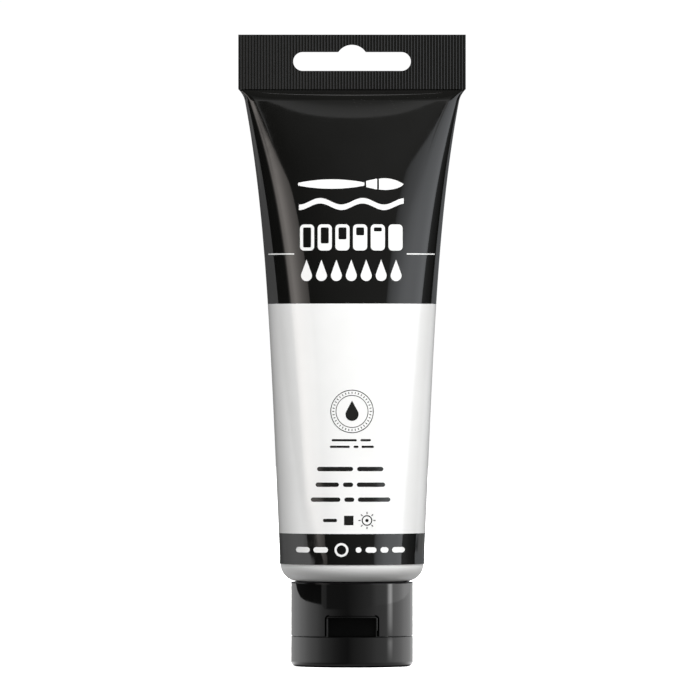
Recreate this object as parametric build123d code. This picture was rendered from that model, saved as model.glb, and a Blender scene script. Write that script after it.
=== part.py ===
"""Flexible paint tube with a crimped, hang-slotted end, standing on its screw-on flip-top cap.

Millimetres. +Z runs up the tube from the cap to the crimp. The origin is the centre of the lid's flat
outer face, on which the tube stands. The front, with the thumb recess, faces -Y and the hinge is at +Y.
"""

import os
from math import pi, sqrt

from build123d import *

# ---- Sleeve: a round plastic tube pressed flat and welded at its end
SLEEVE_RADIUS = 20.0
SLEEVE_WALL = 0.5
SLEEVE_BOTTOM = 28.3
CRIMP_BOTTOM = 159.25
TUBE_TOP = 174.4
CRIMP_THICKNESS = 1.0
CRIMP_HALF_WIDTH = pi * SLEEVE_RADIUS / 2  # half of the flattened circumference
CRIMP_STEP = 0.1  # the crimped bar stands out this far past the sleeve at its two ends
EVEN_WIDENING = 5.5  # half-width gained evenly over the sleeve's length
BULGE_WIDENING = 4.7  # half-width gained mostly towards the crimp
BULGE_POWER = 4.25
FLARE_HEIGHT = 3.35  # the last stretch, which spreads to the crimp's full width
FLARE_POWER = 2.2
CLOSING_HEIGHT = 0.45  # the last stretch, in which front and back come together
CLOSED_HALF_DEPTH = 0.356  # where they have met, just inside the roots of the crimp's ribs
CAVITY_TOP = CRIMP_BOTTOM - 0.2

# ---- Crimp ribs and hang slot
RIB_COUNT = 76
RIB_DEPTH = 0.12
RIB_FLANK = 0.2  # width of each sloping side of the groove between two ribs
SLOT_CENTRE = 167.0
SLOT_WIDTH = 32.5
SLOT_HEIGHT = 5.2
SLOT_BUMP_RADIUS = 4.6

# ---- Head: shoulder and threaded neck, moulded in one
HEAD_RADIUS = 19.8  # a little less than the sleeve's, whose end stands out as a fine step
SHOULDER_RADIUS = 4.85
SHOULDER_WALL = 1.5
SHOULDER_FALL = 1.3  # drop of the conical shoulder from its rounding to the neck
SKIRT_TOP = 31.3
SKIRT_GAP = 0.1  # room for the weld between the skirt and the sleeve
NECK_RADIUS = 8.2
NECK_BORE = 6.6
NECK_LIP = 11.3
THREAD_PITCH = 3.0
THREAD_TURNS = 1.5
THREAD_START = 12.8
THREAD_HEIGHT = 0.8
THREAD_ROOT_WIDTH = 1.3
THREAD_CREST_WIDTH = 0.6
THREAD_BITE = 0.1  # how far a ridge is sunk into the wall that it stands on

# ---- Foil, seal and paint
FOIL_RADIUS = 7.9
FOIL_THICKNESS = 0.15
SEAL_INNER = 5.6
SEAL_OUTER = 8.9
SEAL_GAP = 0.05
PAINT_GAP = 0.1
PAINT_LEVEL = 127.3  # the level of 118 ml

# ---- Cap base
CAP_RADIUS = 16.85
CAP_WALL = 1.3
CAP_TOP = 23.35
PARTING = 8.45
PARTING_GAP = 0.1
EDGE_CHAMFER = 0.2
DECK_THICKNESS = 1.4
COLLAR_INNER = NECK_RADIUS + THREAD_HEIGHT + 0.15
COLLAR_WALL = 1.25
COLLAR_TOP = 21.0
SPOUT_BORE = 2.4
SPOUT_OUTER = 3.6
SPOUT_TIP = 4.6
RING_HEIGHT = 0.8  # locating ring under the deck, inside the lid's wall
RING_WALL = 1.05
RING_CLEARANCE = 0.15
CAP_RIB_WALL = 0.8
CAP_RIB_TOP = 18.0
CAP_RIB_ANGLES = (0, 60, 120, 180, 222, 318)  # clear of the thumb recess at 270

# ---- Thumb recess in the front of the cap base
RECESS_WIDTH = 15.0
RECESS_HEIGHT = 6.0
RECESS_FRAME = 0.9
RECESS_STEP = 0.4
RECESS_CORNER = 1.2
POCKET_BACK = 13.2
POCKET_WALL = 1.2

# ---- Flip lid
LID_WALL = 1.2
LID_FLOOR = 1.4
LID_EDGE_RADIUS = 1.35
PIN_ROOT = 2.25
PIN_TIP = 1.9
PIN_TOP = 6.7
LIP_HALF_WIDTH = 6.2
LIP_BACK = 12.8
LIP_HEIGHT = 1.5

# ---- Living hinge at the back
HINGE_Y = 16.7
HINGE_FLAT = 16.35
HINGE_HALF_WIDTH = 3.8
HINGE_LEAF = 2.1
HINGE_WEB = 0.4
HINGE_ROLL = 0.35

DECK_BOTTOM = PARTING + PARTING_GAP / 2
DECK_TOP = DECK_BOTTOM + DECK_THICKNESS
LID_TOP = PARTING - PARTING_GAP / 2
LID_INNER = CAP_RADIUS - LID_WALL
NUDGE = 0.5  # how far a cutting or joining solid passes the face that it goes through


def half_width(z):
    """Half of the sleeve's width at height z: 20 mm at the shoulder, half the circumference at the crimp."""
    share = max(0.0, z - SKIRT_TOP) / (CRIMP_BOTTOM - SKIRT_TOP)
    flare = max(0.0, (z - CRIMP_BOTTOM + FLARE_HEIGHT) / FLARE_HEIGHT) ** FLARE_POWER
    flare_width = CRIMP_HALF_WIDTH - CRIMP_STEP - SLEEVE_RADIUS - EVEN_WIDENING - BULGE_WIDENING
    widening = EVEN_WIDENING * share + BULGE_WIDENING * share**BULGE_POWER
    return SLEEVE_RADIUS + widening + flare_width * flare


def half_depth(z):
    """Half of the sleeve's depth at z, from the ellipse whose perimeter stays that of the round sleeve.

    It solves Ramanujan's formula, perimeter = pi (3 (a + b) - sqrt((3 a + b) (a + 3 b))), for b.
    """
    a = half_width(z)
    s = 2 * SLEEVE_RADIUS
    linear = 8 * a - 6 * s
    constant = 6 * a * a - 6 * s * a + s * s
    depth = (sqrt(linear * linear - 24 * constant) - linear) / 12
    closing = max(0.0, (z - CRIMP_BOTTOM + CLOSING_HEIGHT) / CLOSING_HEIGHT)
    return depth + (CLOSED_HALF_DEPTH - depth) * closing


def sleeve_heights(low, high):
    """Section heights from low to high, closer together towards the high end."""
    steps = 20
    crowding = 1.8
    return [low + (high - low) * (1 - (1 - i / steps) ** crowding) for i in range(steps + 1)]


def sleeve_form(low, high, inset):
    """Solid inside the sleeve's outer surface between two heights, taken in by inset all round."""
    sections = [
        Plane.XY.offset(z) * Ellipse(half_width(z) - inset, half_depth(z) - inset)
        for z in sleeve_heights(low, high)
    ]
    return loft(sections)


def turned(outline):
    """Solid of revolution about Z from a closed outline of (radius, height)."""
    return revolve(Plane.XZ * make_face(outline), Axis.Z)


def disc(radius, low, high):
    """Upright cylinder between two heights."""
    return Pos(0, 0, low) * Cylinder(radius, high - low, align=(Align.CENTER, Align.CENTER, Align.MIN))


def block(low, high):
    """Box between two corners."""
    size = [h - l for l, h in zip(low, high)]
    return Pos(*low) * Box(*size, align=Align.MIN)


def crimp_outline():
    """Plan of the crimp: a thin bar whose two long faces carry upright ribs."""
    pitch = 2 * CRIMP_HALF_WIDTH / RIB_COUNT
    crest = CRIMP_THICKNESS / 2
    root = crest - RIB_DEPTH
    face = []
    for i in range(RIB_COUNT):
        left = -CRIMP_HALF_WIDTH + i * pitch
        face += [(left, root), (left + RIB_FLANK, crest), (left + pitch - RIB_FLANK, crest)]
    face.append((CRIMP_HALF_WIDTH, root))
    back = [(-x, -y) for x, y in face]
    return Polyline(*face, *back, close=True)


def hang_slot():
    """Cutter for the hang slot: a long rounded slot with a round bump over its middle."""
    slot = SlotOverall(SLOT_WIDTH, SLOT_HEIGHT)
    bump = Circle(SLOT_BUMP_RADIUS) - Pos(0, -SLOT_BUMP_RADIUS) * Rectangle(
        2 * SLOT_BUMP_RADIUS, 2 * SLOT_BUMP_RADIUS
    )
    plane = Plane.XZ.offset(-CRIMP_THICKNESS)
    return extrude(plane * Pos(0, SLOT_CENTRE) * (slot + bump), 2 * CRIMP_THICKNESS)


def tube_sleeve():
    outer = sleeve_form(SLEEVE_BOTTOM, CRIMP_BOTTOM, 0)
    cavity = sleeve_form(SLEEVE_BOTTOM - NUDGE, CAVITY_TOP, SLEEVE_WALL)
    crimp = extrude(Pos(0, 0, CRIMP_BOTTOM) * make_face(crimp_outline()), TUBE_TOP - CRIMP_BOTTOM)
    return outer - cavity + (crimp - hang_slot())


def thread_ridge(wall_radius, outward, start):
    """Right-hand helical ridge on a round wall, standing outward (1) or inward (-1) from it."""
    foot = wall_radius - outward * THREAD_BITE
    crest = THREAD_HEIGHT + THREAD_BITE
    path = Pos(0, 0, start) * Helix(THREAD_PITCH, THREAD_PITCH * THREAD_TURNS, foot)
    section = Polyline(
        (0, -THREAD_ROOT_WIDTH / 2),
        (outward * crest, -THREAD_CREST_WIDTH / 2),
        (outward * crest, THREAD_CREST_WIDTH / 2),
        (0, THREAD_ROOT_WIDTH / 2),
        close=True,
    )
    plane = Plane(origin=path @ 0, x_dir=(1, 0, 0), z_dir=path % 0)
    return sweep(plane * make_face(section), path=path, is_frenet=True)


def shoulder_head():
    """Shoulder with its rounded edge, the skirt bonded inside the sleeve, and the threaded neck."""
    edge = HEAD_RADIUS - SHOULDER_RADIUS
    bottom = SLEEVE_BOTTOM - SHOULDER_RADIUS
    inner = SHOULDER_RADIUS - SHOULDER_WALL
    skirt = SLEEVE_RADIUS - SLEEVE_WALL - SKIRT_GAP
    outline = Polyline(
        (NECK_BORE, NECK_LIP),
        (NECK_RADIUS - EDGE_CHAMFER, NECK_LIP),
        (NECK_RADIUS, NECK_LIP + EDGE_CHAMFER),
        (NECK_RADIUS, bottom - SHOULDER_FALL),
        (edge, bottom),
    )
    outline += CenterArc((edge, SLEEVE_BOTTOM), SHOULDER_RADIUS, 270, 90)
    outline += Polyline(
        (HEAD_RADIUS, SLEEVE_BOTTOM),
        (skirt, SLEEVE_BOTTOM),
        (skirt, SKIRT_TOP),
        (edge + inner, SKIRT_TOP),
        (edge + inner, SLEEVE_BOTTOM),
    )
    outline += CenterArc((edge, SLEEVE_BOTTOM), inner, 0, -90)
    outline += Polyline(
        (edge, SLEEVE_BOTTOM - inner),
        (NECK_BORE, SLEEVE_BOTTOM - inner - SHOULDER_FALL),
        (NECK_BORE, NECK_LIP),
    )
    return turned(outline) + thread_ridge(NECK_RADIUS, 1, THREAD_START)


def neck_seal_foil():
    return disc(FOIL_RADIUS, NECK_LIP - FOIL_THICKNESS, NECK_LIP)


def paint_fill():
    """The paint, from the foil through the neck and shoulder up to its level in the sleeve."""
    edge = HEAD_RADIUS - SHOULDER_RADIUS
    inner = SHOULDER_RADIUS - SHOULDER_WALL - PAINT_GAP
    neck = NECK_BORE - PAINT_GAP
    top = SKIRT_TOP + NUDGE
    outline = Polyline(
        (0, top),
        (0, NECK_LIP + PAINT_GAP),
        (neck, NECK_LIP + PAINT_GAP),
        (neck, SLEEVE_BOTTOM - inner - SHOULDER_FALL),
        (edge, SLEEVE_BOTTOM - inner),
    )
    outline += CenterArc((edge, SLEEVE_BOTTOM), inner, 270, 90)
    outline += Polyline((edge + inner, SLEEVE_BOTTOM), (edge + inner, top), (0, top))
    bulk = sleeve_form(SKIRT_TOP + PAINT_GAP, PAINT_LEVEL, SLEEVE_WALL + PAINT_GAP)
    return bulk + turned(outline)


def cap_seal_ring():
    """Soft flat ring between the neck's lip and the cap's deck."""
    low = DECK_TOP + SEAL_GAP
    high = NECK_LIP - FOIL_THICKNESS - SEAL_GAP
    return disc(SEAL_OUTER, low, high) - disc(SEAL_INNER, low, high)


def cap_shell():
    """Skirt, deck, threaded collar, spout and locating ring, as one turned moulding."""
    collar = COLLAR_INNER + COLLAR_WALL
    skirt = CAP_RADIUS - CAP_WALL
    ring = LID_INNER - RING_CLEARANCE
    return turned(
        Polyline(
            (SPOUT_BORE, SPOUT_TIP),
            (SPOUT_BORE, DECK_TOP),
            (COLLAR_INNER, DECK_TOP),
            (COLLAR_INNER, COLLAR_TOP),
            (collar, COLLAR_TOP),
            (collar, DECK_TOP),
            (skirt, DECK_TOP),
            (skirt, CAP_TOP),
            (CAP_RADIUS - EDGE_CHAMFER, CAP_TOP),
            (CAP_RADIUS, CAP_TOP - EDGE_CHAMFER),
            (CAP_RADIUS, DECK_BOTTOM + EDGE_CHAMFER),
            (CAP_RADIUS - EDGE_CHAMFER, DECK_BOTTOM),
            (ring, DECK_BOTTOM),
            (ring, DECK_BOTTOM - RING_HEIGHT),
            (ring - RING_WALL, DECK_BOTTOM - RING_HEIGHT),
            (ring - RING_WALL, DECK_BOTTOM),
            (SPOUT_OUTER, DECK_BOTTOM),
            (SPOUT_OUTER, SPOUT_TIP),
            close=True,
        )
    )


def cap_ribs():
    """Upright ribs that tie the collar to the skirt."""
    inner = COLLAR_INNER + COLLAR_WALL / 2
    outer = CAP_RADIUS - CAP_WALL / 2
    rib = block((inner, -CAP_RIB_WALL / 2, DECK_TOP - NUDGE), (outer, CAP_RIB_WALL / 2, CAP_RIB_TOP))
    return [Rot(0, 0, angle) * rib for angle in CAP_RIB_ANGLES]


def recess_prism(width, height, corner, back):
    """Front-to-back cutter for the thumb recess, its two upper corners rounded, from the parting line up."""
    tall = 2 * height
    plan = Pos(0, PARTING) * RectangleRounded(width, tall, corner)
    front = CAP_RADIUS + NUDGE
    prism = extrude(Plane.XZ.offset(back) * plan, front - back)
    lower = DECK_BOTTOM - RING_HEIGHT - NUDGE
    return prism & block((-width, -front, lower), (width, 0, TUBE_TOP))


def pocket_back_wall():
    """Wall behind the thumb recess, which closes the cap's inside off from it."""
    half = RECESS_WIDTH / 2 - RECESS_FRAME + POCKET_WALL
    top = PARTING + RECESS_HEIGHT - RECESS_FRAME + POCKET_WALL
    wall = block((-half, -CAP_RADIUS, DECK_BOTTOM), (half, POCKET_WALL - POCKET_BACK, top))
    return wall & disc(CAP_RADIUS - CAP_WALL / 2, DECK_BOTTOM, top)


def lip_clearance():
    """Cutter for the gap in the locating ring that lets the lid's thumb lip through."""
    half = LIP_HALF_WIDTH + 2 * RING_CLEARANCE
    return block(
        (-half, -CAP_RADIUS, DECK_BOTTOM - RING_HEIGHT - NUDGE),
        (half, 2 * RING_CLEARANCE - LIP_BACK, DECK_BOTTOM),
    )


def hinge_flat_cut():
    """Cutter for the flat at the back on which the living hinge lies."""
    return block(
        (-HINGE_HALF_WIDTH - NUDGE, HINGE_FLAT, PARTING - 2 * HINGE_LEAF),
        (HINGE_HALF_WIDTH + NUDGE, CAP_RADIUS + NUDGE, PARTING + 2 * HINGE_LEAF),
    )


def cap_base():
    pocket = recess_prism(
        RECESS_WIDTH - 2 * RECESS_FRAME,
        RECESS_HEIGHT - RECESS_FRAME,
        RECESS_CORNER - RECESS_FRAME / 2,
        POCKET_BACK,
    )
    frame = recess_prism(RECESS_WIDTH, RECESS_HEIGHT, RECESS_CORNER, POCKET_BACK)
    frame -= disc(CAP_RADIUS - RECESS_STEP, 0, CAP_TOP)
    base = cap_shell() + cap_ribs() + pocket_back_wall()
    base += thread_ridge(COLLAR_INNER, -1, THREAD_START + THREAD_PITCH / 2)
    return base - frame - pocket - lip_clearance() - hinge_flat_cut()


def cap_hinge():
    """Thin web moulded between cap and lid, with a roll along the line that it bends about."""
    strip = block(
        (-HINGE_HALF_WIDTH, HINGE_FLAT, PARTING - HINGE_LEAF),
        (HINGE_HALF_WIDTH, HINGE_FLAT + HINGE_WEB, PARTING + HINGE_LEAF),
    )
    roll = Pos(0, HINGE_Y, PARTING) * Rot(0, 90, 0) * Cylinder(HINGE_ROLL, 2 * HINGE_HALF_WIDTH)
    return strip + roll


def flip_lid():
    """Lid with a rounded outer edge, a tapered pin that plugs the spout, and a lip for the thumb."""
    flat = CAP_RADIUS - LID_EDGE_RADIUS
    outline = Line((0, 0), (flat, 0))
    outline += CenterArc((flat, LID_EDGE_RADIUS), LID_EDGE_RADIUS, 270, 90)
    outline += Polyline(
        (CAP_RADIUS, LID_EDGE_RADIUS),
        (CAP_RADIUS, LID_TOP - EDGE_CHAMFER),
        (CAP_RADIUS - EDGE_CHAMFER, LID_TOP),
        (LID_INNER, LID_TOP),
        (LID_INNER, LID_FLOOR),
        (PIN_ROOT, LID_FLOOR),
        (PIN_ROOT, SPOUT_TIP),
        (PIN_TIP, PIN_TOP - EDGE_CHAMFER),
        (PIN_TIP - EDGE_CHAMFER, PIN_TOP),
        (0, PIN_TOP),
        (0, 0),
    )
    lip = block(
        (-LIP_HALF_WIDTH, -CAP_RADIUS, LID_TOP - LIP_HEIGHT),
        (LIP_HALF_WIDTH, -LIP_BACK, LID_TOP),
    )
    lip &= disc(CAP_RADIUS - LID_WALL / 2, 0, LID_TOP)
    return turned(outline) + lip - hinge_flat_cut()


NODES = (
    tube_sleeve,
    shoulder_head,
    neck_seal_foil,
    paint_fill,
    cap_seal_ring,
    cap_base,
    cap_hinge,
    flip_lid,
)

os.makedirs("parts", exist_ok=True)
for node in NODES:
    export_step(node(), f"parts/{node.__name__}.step")
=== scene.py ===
"""Looks of a flexible paint tube that stands on its flip-top cap.

Lengths are in millimetres until mesh_piece makes a mesh, which is in metres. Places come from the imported
frame. The print is made of plain shapes only: a brush, swatches, drops, bars, a ring and a sun.
"""

from math import acos, asin, atan2, ceil, cos, degrees, pi, radians, sin, sqrt, tan

import bmesh
import bpy
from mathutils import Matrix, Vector


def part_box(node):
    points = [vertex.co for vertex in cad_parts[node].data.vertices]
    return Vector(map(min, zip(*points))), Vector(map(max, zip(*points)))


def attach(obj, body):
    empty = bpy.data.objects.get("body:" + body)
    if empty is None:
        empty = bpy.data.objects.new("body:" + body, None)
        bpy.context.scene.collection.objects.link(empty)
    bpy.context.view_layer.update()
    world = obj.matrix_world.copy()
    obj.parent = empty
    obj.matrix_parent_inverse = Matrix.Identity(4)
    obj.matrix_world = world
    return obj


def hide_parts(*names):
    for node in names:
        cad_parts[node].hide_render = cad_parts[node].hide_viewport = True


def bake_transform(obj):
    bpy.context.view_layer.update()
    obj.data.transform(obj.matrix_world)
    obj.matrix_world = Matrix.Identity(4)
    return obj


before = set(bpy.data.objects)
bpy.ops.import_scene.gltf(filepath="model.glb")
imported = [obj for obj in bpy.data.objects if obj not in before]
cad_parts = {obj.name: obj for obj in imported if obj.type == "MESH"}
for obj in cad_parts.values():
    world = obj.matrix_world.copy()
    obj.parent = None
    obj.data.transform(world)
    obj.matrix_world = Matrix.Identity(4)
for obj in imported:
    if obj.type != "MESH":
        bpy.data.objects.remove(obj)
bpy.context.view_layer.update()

MM = 0.001


def box_mm(node):
    """Lowest and highest corner of a CAD node, in millimetres."""
    low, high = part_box(node)
    return low / MM, high / MM


# ---- Sizes read from the frame
SLEEVE_LOW, SLEEVE_HIGH = box_mm("tube_sleeve")
HEAD_LOW, HEAD_HIGH = box_mm("shoulder_head")
RING_LOW, RING_HIGH = box_mm("cap_seal_ring")
BASE_LOW, BASE_HIGH = box_mm("cap_base")
LID_TOP = box_mm("flip_lid")[1].z
HINGE_LOW, HINGE_HIGH = box_mm("cap_hinge")
SLEEVE_RADIUS = SLEEVE_HIGH.y
SLEEVE_BOTTOM = SLEEVE_LOW.z
TUBE_TOP = SLEEVE_HIGH.z
CRIMP_HALF_WIDTH = SLEEVE_HIGH.x
HEAD_RADIUS = HEAD_HIGH.x
NECK_LIP = HEAD_LOW.z
SKIRT_TOP = HEAD_HIGH.z
CAP_RADIUS = BASE_HIGH.x
CAP_TOP = BASE_HIGH.z
SPOUT_TIP = BASE_LOW.z

# ---- Sleeve: its surface follows the same rule as the CAD sleeve
SLEEVE_WALL = 0.5
CRIMP_BOTTOM = 159.25
CRIMP_THICKNESS = 1.0
CRIMP_STEP = 0.1
EVEN_WIDENING = 5.5
BULGE_WIDENING = 4.7
BULGE_POWER = 4.25
FLARE_HEIGHT = 3.35
FLARE_POWER = 2.2
CLOSING_HEIGHT = 0.45
CLOSED_HALF_DEPTH = 0.356
CAVITY_TOP = CRIMP_BOTTOM - 0.2
CAVITY_END_HALF_DEPTH = 0.05
CAVITY_ROW_GAP = 0.1
BAND_TOP = 36.8  # the lower black band ends here
WHITE_TOP = 100.0  # the white zone ends here
BODY_STEP = 1.3  # between the rows of points up the sleeve
FLARE_STEP = 0.25
CLOSING_STEP = 0.09

# ---- Crimp ribs and hang slot
RIB_COUNT = 76
RIB_DEPTH = 0.08
SLOT_CENTRE = 167.0
SLOT_WIDTH = 32.5
SLOT_HEIGHT = 5.2
SLOT_BUMP_RADIUS = 4.6
SLOT_CHAMFER = 0.12
CRIMP_EDGE = 0.12

# ---- Print: thin ink, cut into strips that follow the round sleeve, and heights of its shapes
INK_STAND = 0.02
INK_DEPTH = 0.06
STRIP_WIDTH = 0.7
STRIP_HEIGHT = 2.0
BRUSH_MIDDLE = 132.9
RING_MIDDLE = 70.4
CODE_MIDDLE = 40.5
CODE_SQUARE = 2.6
VOLUME_MIDDLE = 32.4

# Bars in rows, as (height, ((left, right), ...))
RULES = ((113.7, ((-23.1, -15.9), (15.0, 22.8))),)
SMALL_LINES = (
    (62.5, ((-5.6, 1.3), (2.3, 5.2))),
    (60.7, ((-6.1, -0.6), (0.4, 1.8), (2.6, 6.0))),
)
NAME_LINES = (
    (54.6, ((-9.6, 0.3), (1.4, 8.6))),
    (50.3, ((-10.0, -3.6), (-2.5, 0.3), (1.3, 9.1))),
    (46.2, ((-11.3, -3.2), (-2.1, 0.6), (1.6, 10.5))),
)
CODE_LINES = ((CODE_MIDDLE, ((-8.0, -4.1),)),)
VOLUME_SPANS = ((-15.4, -11.6), (-10.6, -6.6), (1.0, 2.6), (3.7, 6.7), (7.8, 10.0), (11.0, 14.5))
VOLUME_LINES = ((VOLUME_MIDDLE, VOLUME_SPANS),)

# ---- Head
SHOULDER_RADIUS = 4.85
SHOULDER_WALL = 1.5
SHOULDER_FALL = 1.3
SKIRT_GAP = 0.1
NECK_RADIUS = 8.2
NECK_BORE = 6.6
NECK_INNER_EDGE = 0.1
NECK_OUTER_EDGE = 0.2
RING_WIDTH = 3.3
THREAD_PITCH = 3.0
THREAD_TURNS = 1.5
THREAD_START = 12.8
THREAD_HEIGHT = 0.8
THREAD_ROOT_WIDTH = 1.3
THREAD_CREST_WIDTH = 0.6
THREAD_BITE = 0.1
THREAD_STEPS = 120
THREAD_FADE = 8  # the ridge rises over one eighth of its length

# ---- Cap
EDGE = 0.3  # usual radius of its edges
DECK_BOTTOM = 8.5
DECK_TOP = 9.9
CAP_WALL = 1.3
COLLAR_INNER = 9.15
COLLAR_OUTER = 10.4
COLLAR_TOP = 21.0
SPOUT_BORE = 2.4
SPOUT_OUTER = 3.6
LOCATOR_RADIUS = CAP_RADIUS - 1.35  # clear of the lid's wall
LOCATOR_WALL = 1.05
LOCATOR_HEIGHT = 0.8
CAP_RIB_WALL = 0.8
CAP_RIB_BITE = 0.4
CAP_RIB_TOP = 18.0
CAP_RIB_ANGLES = (0, 60, 120, 180, 222, 318)

# ---- Thumb recess
RECESS_WIDTH = 15.0
RECESS_HEIGHT = 6.0
RECESS_CORNER = 1.2
GROOVE_WIDTH = 0.34  # between the cap's face and the rim of the pocket
GROOVE_DEPTH = 0.9
RIM_WIDTH = 0.56
RIM_DEPTH = 0.25  # from the cap's face back to the rim's crest
NOTCH_HEIGHT = 1.7  # the rim stops this far above the parting line on the right
POCKET_WIDTH = 13.2
POCKET_HEIGHT = 5.1
POCKET_CORNER = 0.3
POCKET_BACK = 13.2
POCKET_WALL = 1.2

# ---- Lid
LID_WALL = 1.2
SEAM_RADIUS = 0.2  # rounds the two edges of the parting line
LID_FLOOR = 1.4
LID_EDGE_RADIUS = 1.35
PIN_ROOT = 2.25
PIN_TIP = 1.9
PIN_TOP = 6.7
LIP_HALF_WIDTH = 6.2
LIP_BACK = 12.8
LIP_BITE = 0.4
LIP_HEIGHT = 1.5

# ---- Hinge
HINGE_FLAT = HINGE_LOW.y
HINGE_FLAT_MARGIN = 2.1
WEB_WALL = 0.4
WEB_SWELL = 0.1
WEB_SWELL_REACH = 0.8
WEB_ROWS = 40
WEB_COLUMNS = 8

SEGMENTS = 256  # around a turned piece
ARC_STEPS = 8
SUPPORT = 0.06  # from a corner to the points that keep its shading near it
SMOOTH_ANGLE = 32.0
RIB_SMOOTH_ANGLE = 2.0
CAP_SMOOTH_ANGLE = 12.0  # less than the angle at which the hinge's flat meets the round wall
OVERSHOOT = 0.5  # how far a cutter passes the face that it goes through
TOUCH = 0.01  # a face whose middle is this near to a plane lies in it


# ==== Meshes


def added(name, data):
    """New object in the scene."""
    piece = bpy.data.objects.new(name, data)
    bpy.context.scene.collection.objects.link(piece)
    return piece


def mesh_piece(name, vertices, faces, materials=(), which=None):
    """Object from millimetre vertices. which gives each face's material index."""
    mesh = bpy.data.meshes.new(name)
    mesh.from_pydata([Vector(v) * MM for v in vertices], [], faces)
    for material in materials:
        mesh.materials.append(material)
    if which:
        mesh.polygons.foreach_set("material_index", which)
    piece = added(name, mesh)
    tidy(piece)
    return piece


def tidy(piece, smooth=SMOOTH_ANGLE):
    """Merges doubled points, turns normals outward and shades smoothly up to an angle."""
    bm = bmesh.new()
    bm.from_mesh(piece.data)
    bmesh.ops.remove_doubles(bm, verts=bm.verts, dist=1e-7)
    bmesh.ops.recalc_face_normals(bm, faces=bm.faces)
    bm.to_mesh(piece.data)
    bm.free()
    piece.data.polygons.foreach_set("use_smooth", [True] * len(piece.data.polygons))
    piece.data.set_sharp_from_angle(angle=radians(smooth))


def combine(piece, other, operation):
    """Boolean of two pieces, after which only the first is left."""
    modifier = piece.modifiers.new("shape", "BOOLEAN")
    modifier.operation = operation
    modifier.object = other
    modifier.solver = "EXACT"
    bpy.context.view_layer.update()
    result = bpy.data.meshes.new_from_object(piece.evaluated_get(bpy.context.evaluated_depsgraph_get()))
    piece.modifiers.clear()
    result.name = piece.name
    piece.data = result
    bpy.data.objects.remove(other)
    tidy(piece)
    return piece


def join(name, parts, smooth=SMOOTH_ANGLE):
    """One object from several that stay separate closed shells."""
    bm = bmesh.new()
    for part in parts:
        bm.from_mesh(part.data)
    mesh = bpy.data.meshes.new(name)
    bm.to_mesh(mesh)
    bm.free()
    for material in parts[0].data.materials:
        mesh.materials.append(material)
    for part in parts:
        bpy.data.objects.remove(part)
    mesh.set_sharp_from_angle(angle=radians(smooth))
    return added(name, mesh)


def steps_between(first, last, count):
    """Even steps from the first value to the last, both among them."""
    return [first + (last - first) * k / count for k in range(count + 1)]


def arc(x, z, radius, start, turn, steps=24):
    """Points on an arc, angles in degrees."""
    angles = [radians(start + turn * k / steps) for k in range(steps + 1)]
    return [(x + radius * cos(a), z + radius * sin(a)) for a in angles]


def rounded(corners):
    """Closed outline through corners (x, y, radius), each turned into an arc of that radius."""
    points = []
    for i, (x, y, radius) in enumerate(corners):
        here = Vector((x, y))
        if not radius:
            points.append((x, y))
            continue
        back = (Vector(corners[i - 1][:2]) - here).normalized()
        ahead = (Vector(corners[(i + 1) % len(corners)][:2]) - here).normalized()
        half = back.angle(ahead) / 2
        centre = here + (back + ahead).normalized() * radius / sin(half)
        first = here + back * radius / tan(half) - centre
        last = here + ahead * radius / tan(half) - centre
        start = degrees(atan2(first.y, first.x))
        turn = (degrees(atan2(last.y, last.x)) - start + 180) % 360 - 180
        points += arc(centre.x, centre.y, radius, start, turn, ARC_STEPS)
    return points


def rounded_box(left, bottom, width, height, corner):
    """Rectangle with rounded corners."""
    right = left + width
    top = bottom + height
    return rounded([(x, z, corner) for x, z in ((left, bottom), (right, bottom), (right, top), (left, top))])


def supported(outline):
    """Adds points near both ends of the long runs, so that smooth shading stays in the corners."""
    points = []
    for i, here in enumerate(outline):
        start = Vector(here)
        run = Vector(outline[(i + 1) % len(outline)]) - start
        points.append(here)
        if run.length > 10 * SUPPORT:
            step = run.normalized() * SUPPORT
            points += [tuple(start + step), tuple(start + run - step)]
    return points


def lathe(name, outline, materials=()):
    """Closed (radius, height) outline turned about Z."""
    outline = supported(outline)
    count = len(outline)
    vertices = []
    for segment in range(SEGMENTS):
        angle = 2 * pi * segment / SEGMENTS
        vertices += [(r * cos(angle), r * sin(angle), z) for r, z in outline]
    faces = []
    for segment in range(SEGMENTS):
        here = segment * count
        there = (segment + 1) % SEGMENTS * count
        for i in range(count):
            j = (i + 1) % count
            if outline[i][0] or outline[j][0]:
                faces.append([here + i, there + i, there + j, here + j])
    return mesh_piece(name, vertices, faces, materials)


def skin(count, rows):
    """Two end faces, then the faces between closed rows of count points, row by row."""
    faces = [list(range(count)), list(range(count * (rows - 1), count * rows))]
    for low in range(0, count * (rows - 1), count):
        for i in range(count):
            j = (i + 1) % count
            faces.append([low + i, low + j, low + count + j, low + count + i])
    return faces


def prism(name, outline, sections, place, materials=()):
    """Closed outline carried through sections. place(point, section) gives each vertex."""
    count = len(outline)
    vertices = [place(point, section) for section in sections for point in outline]
    return mesh_piece(name, vertices, skin(count, len(sections)), materials)


def block(name, low, high):
    """Box between two corners, for cutting or joining."""
    outline = [(low[0], low[1]), (high[0], low[1]), (high[0], high[1]), (low[0], high[1])]
    return prism(name, outline, (low[2], high[2]), lambda p, z: (p[0], p[1], z))


# ==== Materials


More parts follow.
